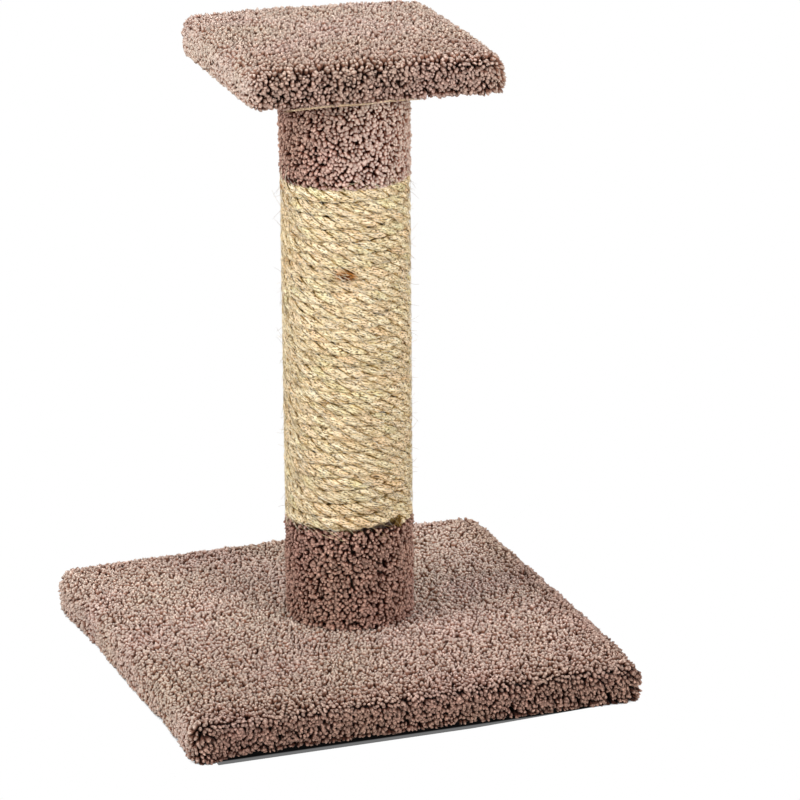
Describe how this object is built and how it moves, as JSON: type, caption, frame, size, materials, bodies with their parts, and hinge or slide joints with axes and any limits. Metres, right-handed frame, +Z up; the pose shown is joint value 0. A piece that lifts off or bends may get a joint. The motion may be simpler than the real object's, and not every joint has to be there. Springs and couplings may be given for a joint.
{
  "type": "cat scratching post",
  "caption": "Free-standing cat scratching post: carpeted square base, rope-wound round post with carpet collars, and a small carpeted perch on top.",
  "frame": {"origin": "on the floor, under the middle of the square base", "axes": "+Z up along the post, -Y towards the front edge of the base, +X to its right"},
  "size_m": [0.3696, 0.3696, 0.5122],
  "materials": {
    "carpet": "cut pile carpet, mauve-brown, matte",
    "sisal": "natural three-strand sisal rope, straw-coloured, fibrous",
    "particle_board": "raw sanded particle board",
    "card": "spiral-wound brown card, matte",
    "plug_wood": "raw sawn pine",
    "zinc": "zinc-plated screws and nails",
    "staple_steel": "galvanised staple wire"
  },
  "bodies": {
    "root": {"base_board": "particle_board", "base_carpet": "carpet", "base_staples": "staple_steel", "base_screws": "zinc", "post_tube": "card", "bottom_plug": "plug_wood", "top_plug": "plug_wood", "bottom_plug_nails": "zinc", "top_plug_nails": "zinc", "bottom_collar": "carpet", "top_collar": "carpet", "bottom_collar_staples": "staple_steel", "top_collar_staples": "staple_steel", "sisal_rope": "sisal", "rope_staples": "staple_steel", "perch_board": "particle_board", "perch_carpet": "carpet", "perch_staples": "staple_steel", "perch_screws": "zinc"}
  },
  "joints": []
}
